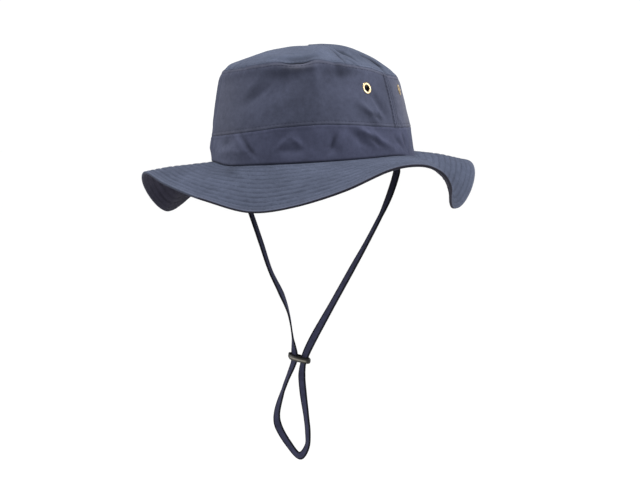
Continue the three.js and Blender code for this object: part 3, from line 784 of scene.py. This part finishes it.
def cloth_material(name, base, worn_and_lit_colour):
    """Washed woven cotton: crossing threads, fibre grain and washed-out blotches; paler rubbed ridges with
    painted highlights, and painted shade from the shade attribute.
    """
    m = Shader(name, base, 0.92, Specular_IOR_Level=0.05)
    uv = m.node("UVMap", "UV", uv_map="cloth")
    threads = [m.wave(uv, WAVE_PERIOD / (CLOTH_THREAD * MM), 0.6, bands_direction=direction, Detail=1.0,
                      Detail_Scale=0.4) for direction in ("X", "Y")]
    crossing = m.calculate("MAXIMUM", *threads)
    fibre = m.noise(1500.0, 3.0, 0.6)
    blotch = m.noise(26.0, 3.0, 0.55)
    grain = m.noise(260.0, 4.0, 0.65)
    tone = m.product(m.ramp(blotch, 0.3, 0.7, 0.84, 1.16), m.ramp(grain, 0.25, 0.75, 0.86, 1.14),
                     m.ramp(crossing, 0.2, 1.0, 0.82, 1.06))
    # Paler rubbed ridges and painted light, mixed toward the pale second colour
    worn_and_lit = m.product(m.attribute("wear"), m.ramp(grain, 0.35, 0.65, 0.62, 0.88))
    # Painted shade from the shade attribute darkens the colour
    colour = m.scaled(m.mix(worn_and_lit, m.scaled(base, tone), worn_and_lit_colour),
                      m.ramp(m.attribute("shade"), 0, DARKEST, 1, 0.12))
    height = m.calculate("ADD", crossing, m.product(fibre, 0.7))
    height = m.calculate("ADD", height, m.product(grain, 1.6))
    return m.surface(colour, m.ramp(fibre, 0.3, 0.7, 0.86, 0.97), height, 0.55, 0.1)


def thread_material(name, base):
    """Twisted sewing thread."""
    m = Shader(name, base, 0.8, Specular_IOR_Level=0.08)
    colour = m.scaled(base, m.ramp(m.noise(300.0, 2.0), 0.3, 0.7, 0.75, 1.25))
    return m.surface(colour, 0.8, m.wave(m.place, 900.0, 2.0), 0.5, 0.05)


def tape_material():
    """Close woven tape with fine ribs along it; its edges are painted darker as painted shade, and so is the
    length under the brim.
    """
    base = (0.0215, 0.0225, 0.044)
    m = Shader("strap_tape", base, 0.85, Specular_IOR_Level=0.1)
    uv = m.node("UVMap", "UV", uv_map="cloth")
    ribs = m.wave(uv, WAVE_PERIOD / (0.7 * MM), 0.3, bands_direction="Y")
    twill = m.wave(uv, WAVE_PERIOD / (0.9 * MM), 0.5, bands_direction="DIAGONAL", Detail=1.0)
    weave = m.calculate("ADD", ribs, twill)
    # Painted shade along both edges of the tape, where they turn from the light
    edge = m.calculate("ABSOLUTE", m.node("SeparateXYZ", "Y", Vector=uv))
    tone = m.product(m.ramp(weave, 0.2, 1.8, 0.7, 1.35), m.ramp(m.noise(240.0, 4.0), 0.3, 0.7, 0.8, 1.25),
                     m.ramp(edge, 1.8 * MM, 2.6 * MM, 1, 0.15), m.ramp(m.attribute("shade"), 0, 1, 1, 0.4))
    return m.surface(m.scaled(base, tone), 0.85, weave, 0.6, 0.12)


def leather_material():
    """Dark leather with a painted highlight: a paler streak along the middle of its face, where the lamps
    glint.
    """
    base = (0.007, 0.0065, 0.0055)
    m = Shader("slider_leather", base, 0.4, Specular_IOR_Level=0.2)
    pores = m.node("TexVoronoi", "Distance", Vector=m.place, Scale=1100.0)
    rubbed = m.noise(180.0, 4.0, 0.6)
    # The streak is a painted highlight, mixed toward a pale colour
    worn_and_lit = m.product(m.attribute("wear"), m.ramp(rubbed, 0.3, 0.65, 0.45, 1))
    colour = m.mix(worn_and_lit, m.scaled(base, m.ramp(rubbed, 0.35, 0.7, 0.7, 1.8)), (0.25, 0.232, 0.197))
    height = m.calculate("ADD", pores, rubbed)
    return m.surface(colour, m.ramp(rubbed, 0.3, 0.7, 0.5, 0.3), height, 0.35, 0.15)


def brass_material():
    """Polished pale brass with faint handling marks, a darker film here and there, and painted shadow inside
    the barrel of the hole.
    """
    base = (0.33, 0.25, 0.145)
    m = Shader("eyelet_brass", base, 0.34, Metallic=1.0)
    film = m.noise(420.0, 5.0, 0.6)
    tone = m.product(m.ramp(film, 0.3, 0.6, 0.72, 1.08), m.ramp(m.attribute("shade"), 0, 1, 1, 0.03))
    marks = m.noise(2600.0, 2.0)
    return m.surface(m.scaled(base, tone), m.ramp(film, 0.3, 0.7, 0.45, 0.28), marks, 0.15, 0.03)


# Chin strap

def tape_stations():
    """Centre line of the strap at even steps: points, directions, facing angles and its whole length."""
    rows = np.array([[row["x"], row["y"], row["z"]] for row in TAPE_PATH], float)
    faces = np.array([row["face"] for row in TAPE_PATH], float)
    steps = np.diff(rows, axis=0)
    gaps = np.sqrt(np.linalg.norm(steps, axis=1))[:, None]
    knots = np.concatenate([[0], np.cumsum(gaps)])
    pace = steps / gaps
    inner = (pace[:-1] * gaps[1:] + pace[1:] * gaps[:-1]) / (gaps[:-1] + gaps[1:])
    slope = np.concatenate([pace[:1], inner, pace[-1:]])
    fine = np.linspace(0, knots[-1], TAPE_SAMPLES)
    line = np.stack([hermite(knots, rows[:, c], slope[:, c], fine) for c in range(3)], -1)
    run = run_of(line)
    even = np.linspace(0, run[-1], int(round(run[-1] / TAPE_STEP)) + 1)
    points = np.stack([np.interp(even, run, line[:, c]) for c in range(3)], -1)
    facing = np.interp(np.interp(even, run, fine), knots, faces)
    return points, unit(np.gradient(points, axis=0)), facing, run[-1]


def strap():
    """The one flat tape, sewn in at both ends and looped through the slider."""
    points, tangents, facing, length = tape_stations()
    a = np.radians(facing)
    forward = np.stack([np.sin(a), -np.cos(a), np.zeros_like(a)], -1)
    side = unit(np.cross(forward, tangents))
    for k in range(1, len(side)):
        if side[k] @ side[k - 1] < 0:
            side[k] = -side[k]
    flat = unit(np.cross(tangents, side))
    half = np.stack([TAPE_ACROSS * TAPE_WIDTH / 2, TAPE_SWELL * TAPE_THICKNESS / 2], -1)
    section = np.concatenate([half, half[::-1] * (1, -1)])
    count, sides = len(points), len(section)
    ring = points[:, None] + side[:, None] * section[None, :, :1] + flat[:, None] * section[None, :, 1:]
    faces = tube_faces(count, sides, False)[:, ::-1].tolist()
    faces.append(list(range(sides)))
    faces.append(list(range(count * sides - 1, (count - 1) * sides - 1, -1)))
    uv = np.stack([np.repeat(np.arange(count) * TAPE_STEP, sides), np.tile(section[:, 0], count)], -1) * MM
    # Painted shade from the brim over the strap's upper length
    shade = np.clip((points[:, 2] - SHADE_END) / SHADE_DEPTH, 0, 1)
    obj = mesh_object("chin_strap_tape", ring.reshape(-1, 3), faces, [MATERIALS["tape"]], uv=uv,
                      shade=np.repeat(shade, sides))
    slider()
    dress(obj, "chin_strap")


def slider_ring(grow, height):
    """An almond outline at a height from -1 to 1, grown by so much each way."""
    a = np.linspace(0, 2 * np.pi, SLIDER_SIDES, endpoint=False)
    s = np.sin(a)
    return np.stack([(SLIDER_WIDTH + grow) / 2 * np.cos(a),
                     (SLIDER_DEPTH + grow) / 2 * np.sign(s) * np.abs(s) ** 0.95,
                     np.full_like(a, height * SLIDER_HEIGHT / 2)], -1)


def slider():
    """The sleeve on both strands: an almond ring with a rounded face, flared mouths and a raised tip."""
    heights = np.linspace(-1, 1, SLIDER_LEVELS)
    outer = [slider_ring(SLIDER_SWELL - SLIDER_ROUNDING * height ** 4, height) for height in heights]
    inner = [slider_ring(SLIDER_FLARE * max(0, abs(height) - 0.8) / 0.2 - 2 * SLIDER_WALL, height)
             for height in heights[::-1]]
    rings = np.array(outer + inner)
    x = rings[..., 0]
    # A painted highlight: a paler streak along the middle of the face
    streak = hump(heights + 0.1, 0.27)[:, None] * np.clip((9.0 - np.abs(x[:SLIDER_LEVELS])) / 1.6, 0, 1)
    z = rings[..., 2] + SLIDER_TIP_LIFT * np.clip((-x - 8) / 3, 0, 1)
    tilt = math.radians(SLIDER_TILT)
    turned = np.stack([x * math.cos(tilt) + z * math.sin(tilt), rings[..., 1],
                       z * math.cos(tilt) - x * math.sin(tilt)], -1)
    obj = mesh_object("slider_sleeve", turned.reshape(-1, 3) + np.array(SLIDER_CENTRE),
                      tube_faces(len(rings), SLIDER_SIDES, True), [MATERIALS["leather"]],
                      wear=np.concatenate([streak, np.zeros_like(streak)]).ravel())
    dress(obj, "strap_slider")
    return obj


# Crown

def hole_mask(azimuth, up):
    """Cells of the wall that stay: those outside the punched eyelet holes."""
    stay = np.ones(azimuth.shape, bool)
    point = smooth_crown(azimuth, up)
    for seat in EYELETS:
        centre = smooth_crown(np.array(seat["at"]), np.array(seat["up"]))
        stay &= np.linalg.norm(point - centre, axis=-1) > HOLE_RADIUS
    return stay


def wear_of(azimuth, up):
    """Paler rubbed lines along the seams, and painted light: paler flanks at both sides and a painted
    highlight on the lip under the top seam at the front.
    """
    seam, band = top_seam(azimuth), band_seam(azimuth)
    worn_and_lit = 0.3 * hump(up - seam + 1.6, 1.3) + 0.12 * hump(up - band - 1.6, 1.2)
    # A painted highlight on the lip under the top seam at the front
    worn_and_lit = worn_and_lit + 0.5 * hump(azimuth - LIP, 9) * hump(up - seam + 3.8, 2.2)
    share = under(band, up, 1.5)
    # Painted light on both flanks, where the side lamps fall
    for flank in PAINTED_LIGHT_FLANKS:
        strength = flank["below"] + (flank["above"] - flank["below"]) * share
        strength = strength * np.clip((seam - up) / flank["ease"], 0, 1)
        worn_and_lit = worn_and_lit + strength * hump(turn_from(flank["at"], azimuth), flank["reach"])
    return np.clip(worn_and_lit, 0, 1)


def foot_shadow_line(azimuth):
    """How dark the painted shadow line between crown and brim is; it fades where the cloth runs out level.
    """
    return 1 - 0.85 * hump(turn_from(LEVEL_FOOT, azimuth), 9)


def shade_of(azimuth, up):
    """Painted shade: dark lines in the seams and creases and along the topstitching, and a painted shadow
    line at the foot of the crown, with softly shaded places on the top's left flank and in the hollow at the
    front."""
    seam, band = top_seam(azimuth), band_seam(azimuth)
    # Painted shadow line at the foot of the crown
    foot = 0.85 * foot_shadow_line(azimuth) * hump(up + seam_dip(azimuth), 1.35)
    deep = hump(turn_from(LIP, azimuth), 8)
    joint = (0.12 + 1.1 * deep) * hump(up - seam, 0.5 + 0.7 * deep) + 0.36 * hump(up - band, 0.6)
    row = 0.22 * hump(np.abs(up - seam) - TOPSTITCH, 0.45) + 0.2 * hump(up - band - TOPSTITCH, 0.45)
    side = 0.0
    for middle in SIDE_SEAMS:
        d = side_distance(middle, azimuth)
        side = side + 0.2 * hump(d, 0.5) + 0.6 * hump(d - SIDE_FLAT - 0.3, 0.9)
    side = np.where((up > band) & (up < seam), side, 0)
    # Painted shade in the creases, in the hollow at the front and on the top's flank
    crease = np.clip(-0.5 * fold_rise(azimuth, up, CREASES) - 0.1, 0, 1.2)
    hollow = 0.13 * hump(turn_from(SHADED_HOLLOW[0], azimuth), 18) * hump(up - SHADED_HOLLOW[1], 16)
    flank = 0.3 * hump(turn_from(TOP_FLANK, azimuth), 30) * np.clip((up - seam - 2) / 12, 0, 1)
    return np.clip(foot + joint + row + crease + side + hollow + flank, 0, DARKEST)


def wall_uv(azimuth, up):
    return np.stack([azimuth * WALL_ARC, up], -1) * MM


def plan_uv(azimuth, up):
    return smooth_crown(azimuth, up)[..., :2] * MM


def crown_sheet(name, node, outside, middle, half_span, rows, low, high, end=1.0, uv=wall_uv,
                keep=None):
    """One sewn panel of the crown, spread to both sides of a middle and between two heights."""
    def at(t, u):
        azimuth = middle + half_span * (2 * t - 1)
        foot = low(azimuth)
        return azimuth, foot + (high(azimuth) - foot) * np.minimum(u, end)

    def point(azimuth, up, layer):
        return crown_point(azimuth, up, layer * CLOTH)
    ring = half_span == 180
    columns = WALL_COLUMNS if ring else WALL_COLUMNS // 2
    obj = sheet_object(name, columns, rows, ring, at, point, (outside, "under"), uv, wear_of, shade_of, keep)
    dress(obj, node)


def crown_band():
    crown_sheet("crown_band_cloth", "crown_band", "band", 0, 180, BAND_ROWS,
                lambda azimuth: -seam_dip(azimuth), lambda azimuth: band_seam(azimuth) + SEAM_OVERLAP / 2)


def crown_side(name, node, middle):
    crown_sheet(name, node, "crown", middle,
                90 + math.degrees(SEAM_OVERLAP / 2 / (HALF_WIDTH - SIDE_INSET)), SIDE_ROWS,
                lambda azimuth: band_seam(azimuth) - SEAM_OVERLAP / 2,
                lambda azimuth: top_seam(azimuth) + SEAM_OVERLAP / 2, keep=hole_mask)


def crown_top():
    crown_sheet("crown_top_cloth", "crown_top", "top", 0, 180, TOP_ROWS,
                lambda azimuth: top_seam(azimuth) - SEAM_OVERLAP,
                lambda azimuth: top_seam(azimuth) + top_reach(azimuth), end=TOP_END, uv=plan_uv)


# Brim

def brim_shade(azimuth, along):
    """Painted shade: dark quilting and hem rows, the fold at the front, the shadow at the foot of the crown,
    the left flank and the edge of the rim."""
    row = np.clip(np.round(quilt_place(along)), 0, QUILT_ROWS - 1)
    lines = 0.34 * quilt_pull(azimuth, row) * hump(along - quilt_line(row), 0.7)
    for hem_row in (HEM_WIDTH, EDGE_ROW):
        lines = lines + 0.24 * hump(along - BRIM_WIDTH + hem_row, 0.6)
    # Painted shade where the brim folds at the front, and painted shadow at the crown's foot
    fold = 0.5 * hump(azimuth - SHADED_BRIM_FOLD - 0.42 * (along - 8), 4.5) * hump(along - 14, 10)
    foot = 0.6 * foot_shadow_line(azimuth) * hump(np.minimum(along, 9), 1.2)
    flank = 0.14 * hump(azimuth - BRIM_FLANK, 22)
    edge = 0.405 + 0.495 * under(np.abs(azimuth - DARK_EDGE_MIDDLE), DARK_EDGE_REACH, 3)
    return lines + fold + foot + flank + edge * (along > BRIM_WIDTH - 0.01)


def brim():
    """The quilted brim, from inside the crown's foot to its rounded rim."""
    curl = np.radians([30, 60, 90])
    rows = np.concatenate([[-CLOTH, -0.7], np.linspace(0, BRIM_WIDTH - RIM_RADIUS, BRIM_ROWS),
                           BRIM_WIDTH - RIM_RADIUS * (1 - np.sin(curl))])
    round_off = np.concatenate([np.zeros(BRIM_ROWS + 2), RIM_RADIUS * (1 - np.cos(curl))])
    last = len(rows) - 1

    def at(t, u):
        return -180 + 360 * t, np.round(u * last).astype(int)

    def point(azimuth, k, layer):
        return brim_point(azimuth, rows[k], round_off[k] if layer else BRIM_THICKNESS - round_off[k])

    def uv(azimuth, k):
        return np.stack([azimuth * BRIM_ARC, rows[k]], -1) * MM

    def worn_and_lit(azimuth, k):
        return 0.4 * hump(rows[k] - BRIM_WIDTH + 1, 2.2)

    def shade(azimuth, k):
        return brim_shade(azimuth, rows[k])

    obj = sheet_object("brim_cloth", BRIM_COLUMNS, last, True, at, point, ("under", "brim"), uv, worn_and_lit, shade)
    # Over PALE_EDGE the rim's edge keeps the paler brim cloth; elsewhere it takes the darker under cloth, as
    # painted shade
    middle = -180 + 360 * (np.arange(BRIM_COLUMNS) + 0.5) / BRIM_COLUMNS
    pale = (middle > PALE_EDGE[0]) & (middle < PALE_EDGE[1])
    count = BRIM_COLUMNS * last
    index = np.zeros(len(obj.data.polygons), np.int32)
    index[count:2 * count] = (np.arange(last) < last - 2 + 2 * pale[:, None]).ravel()
    index[2 * count + BRIM_COLUMNS:] = pale
    obj.data.polygons.foreach_set("material_index", index)
    dress(obj, "brim")


# Stitches

def stitch_object(name, lines):
    """Every stitch is a small rounded bead of thread, lying along its line on the cloth."""
    angles = np.radians([45, 135, 225, 315])
    bead = [(-0.5, 0, 0)]
    for place, size in STITCH_RINGS:
        bead += [(place, math.cos(a) * size, math.sin(a) * size) for a in angles]
    bead = np.array(bead + [(0.5, 0, 0)])
    faces = []
    for k in range(4):
        n = (k + 1) % 4
        faces += [[0, 1 + n, 1 + k], [13, 9 + k, 9 + n]]
        for r in (0, 4):
            faces += [[1 + r + k, 1 + r + n, 5 + r + n], [1 + r + k, 5 + r + n, 5 + r + k]]
    start, end, normal = (np.concatenate(parts) for parts in zip(*lines))
    run = end - start
    along = unit(run)
    side = unit(np.cross(normal, along))
    lift = np.cross(along, side)
    points = ((start + end)[:, None] / 2 + run[:, None] * bead[:, :1]
              + side[:, None] * bead[:, 1:2] * THREAD_RADIUS + lift[:, None] * bead[:, 2:] * THREAD_RADIUS)
    offsets = (np.arange(len(start)) * len(bead))[:, None, None]
    faces = (np.array(faces) + offsets).reshape(-1, 3)
    dress(mesh_object(name, points.reshape(-1, 3), faces, [MATERIALS[name]]))


def stitch_line(at, surface, outward):
    """Starts, ends and normals of stitches at an even pitch along a line on a surface. at turns 0 to 1
    into places, surface gives their points and outward their normals."""
    t = np.linspace(0, 1, STITCH_SAMPLES)
    run = run_of(surface(*at(t)))
    count = max(2, int(run[-1] / STITCH_PITCH))
    begin = (np.arange(count) + 0.15) * run[-1] / count
    finish = begin + STITCH_LENGTH / STITCH_PITCH * run[-1] / count
    t0, t1 = np.interp(begin, run, t), np.interp(finish, run, t)
    normal = outward(*at((t0 + t1) / 2))
    return surface(*at(t0)) - normal * STITCH_SINK, surface(*at(t1)) - normal * STITCH_SINK, normal


def crown_stitches():
    lines = []
    for seam, offset in ((band_seam, TOPSTITCH), (top_seam, -TOPSTITCH), (top_seam, TOPSTITCH)):
        def around(t, seam=seam, offset=offset):
            azimuth = -180 + 360 * t
            return azimuth, seam(azimuth) + offset
        lines.append(stitch_line(around, crown_point, eased_normal))
    for middle in SIDE_SEAMS:
        for turn in (-SIDE_STITCH_TURN, SIDE_STITCH_TURN):
            def upward(t, azimuth=middle + turn):
                a = np.full_like(t, azimuth)
                low, high = band_seam(a) + 1, top_seam(a) - 1
                return a, low + (high - low) * t
            lines.append(stitch_line(upward, crown_point, eased_normal))
    stitch_object("crown_stitches", lines)


def brim_stitches():
    rows = [quilt_line(k) for k in range(QUILT_ROWS)] + [BRIM_WIDTH - HEM_WIDTH, BRIM_WIDTH - EDGE_ROW]
    for name, depth, way in (("brim_stitches_top", 0.0, 1), ("brim_stitches_under", BRIM_THICKNESS, -1)):
        def surface(azimuth, along, depth=depth):
            return brim_point(azimuth, along, np.full_like(along, depth))

        def outward(azimuth, along, way=way):
            return brim_normal(azimuth, along) * way
        lines = []
        for row in rows:
            def around(t, along=row):
                return -180 + 360 * t, np.full_like(t, along)
            lines.append(stitch_line(around, surface, outward))
        stitch_object(name, lines)


# Eyelets

def cloth_middle(azimuth, up):
    """The middle of the cloth, with its large folds alone."""
    azimuth, up = np.array(azimuth), np.array(up)
    lift = fold_rise(azimuth, up, FOLDS) - CLOTH / 2
    return smooth_crown(azimuth, up) + crown_normal(azimuth, up) * lift


def eyelets():
    """Rolled brass rings, one through each hole, with their washers inside the crown."""
    roll = [(math.cos(math.radians(a)) * ROLL_HALF_WIDTH + ROLL_RADIUS,
             math.sin(math.radians(a)) * ROLL_RISE + EYELET_FACE) for a in range(0, 181, 15)]
    barrel = [(BARREL_RADIUS, CLOTH / 2), (BARREL_RADIUS, -CLOTH / 2)]
    washer = [(radius, -EYELET_FACE - depth) for radius, depth in WASHER]
    outline = np.array([(CORE_RADIUS, EYELET_FACE), (ROLL_SEAT, EYELET_FACE)] + roll + barrel + washer
                       + [(CORE_RADIUS, -EYELET_FACE)])
    shade = np.zeros(len(outline))
    # Painted shadow: the barrel inside the hole is darkened
    shade[len(roll):len(roll) + 5] = 1
    a = np.linspace(0, 2 * np.pi, EYELET_SIDES, endpoint=False)[:, None]
    upright = np.array([0.0, 0.0, 1.0])
    for seat in EYELETS:
        azimuth, up = seat["at"], seat["up"]
        normal = unit(np.cross(cloth_middle(azimuth + 3, up) - cloth_middle(azimuth - 3, up),
                               cloth_middle(azimuth, up + 4) - cloth_middle(azimuth, up - 4)))
        side = unit(np.cross(upright, normal))
        normal = unit(normal + side * math.tan(math.radians(seat["turn"])))
        side = unit(np.cross(upright, normal))
        spoke = side * np.cos(a) + np.cross(normal, side) * np.sin(a)
        points = cloth_middle(azimuth, up) + spoke * outline[:, None, :1] + normal * outline[:, None, 1:]
        obj = mesh_object(seat["node"] + "_ring", points.reshape(-1, 3),
                          tube_faces(len(outline), EYELET_SIDES, True), [MATERIALS["brass"]],
                          shade=np.repeat(shade, EYELET_SIDES))
        dress(obj, seat["node"])


# Studio

def area_light(name, place, aim, size, power):
    data = bpy.data.lights.new(name, "AREA")
    data.shape = "RECTANGLE"
    data.size, data.size_y = size
    data.energy = power
    obj = scene_object(name, data)
    direction = Vector(aim) - Vector(place)
    obj.matrix_world = Matrix.Translation(place) @ direction.to_track_quat("-Z", "Y").to_matrix().to_4x4()


def studio():
    """A white room with a floor far below and three soft lights."""
    scene = bpy.context.scene
    scene.view_settings.view_transform = "Standard"
    scene.world = bpy.data.worlds.new("studio")
    scene.world.use_nodes = True
    background = scene.world.node_tree.nodes["Background"]
    background.inputs["Color"].default_value = (1.0, 1.0, 1.0, 1)
    background.inputs["Strength"].default_value = WORLD_LIGHT
    m = Shader("floor_paper", FLOOR_TONE, 0.9)
    m.fill(m.bsdf, Base_Color=m.scaled(FLOOR_TONE, m.ramp(m.noise(60.0, 4.0), 0.3, 0.7, 0.99, 1.01)))
    corners = [(x * FLOOR_HALF, y * FLOOR_HALF, FLOOR_HEIGHT)
               for x, y in ((-1, -1), (1, -1), (1, 1), (-1, 1))]
    mesh_object("floor", corners, [[0, 1, 2, 3]], [m.material], smooth=False)
    for light in LIGHTS:
        area_light(**light)


# One cotton: the top and brim are paler copies, painted light where they face the overhead lamp; the under
# cloth and thread are darker copies, painted shade for the underside and the inside. Each pale second colour
# serves rubbed ridges and painted light.
MATERIALS = {
    "crown": cloth_material("crown_cotton", (0.0355, 0.0395, 0.0615), (0.093, 0.095, 0.118)),
    "top": cloth_material("top_cotton_lit", (0.0455, 0.0535, 0.079), (0.08, 0.09, 0.125)),
    "band": cloth_material("band_cotton", (0.0345, 0.038, 0.0635), (0.08, 0.088, 0.125)),
    "brim": cloth_material("brim_cotton_lit", (0.041, 0.048, 0.0715), (0.08, 0.09, 0.125)),
    "under": cloth_material("under_cotton_shaded", (0.0205, 0.0195, 0.030), (0.04, 0.042, 0.055)),
    "crown_stitches": thread_material("crown_thread", (0.024, 0.026, 0.043)),
    "brim_stitches_top": thread_material("brim_thread", (0.034, 0.04, 0.06)),
    "brim_stitches_under": thread_material("under_thread_shaded", (0.017, 0.017, 0.026)),
    "tape": tape_material(),
    "leather": leather_material(),
    "brass": brass_material(),
}

camera()
strap()
crown_band()
crown_side("crown_front_cloth", "crown_side_front", 0)
crown_side("crown_back_cloth", "crown_side_back", 180)
crown_top()
brim()
eyelets()
crown_stitches()
brim_stitches()
studio()
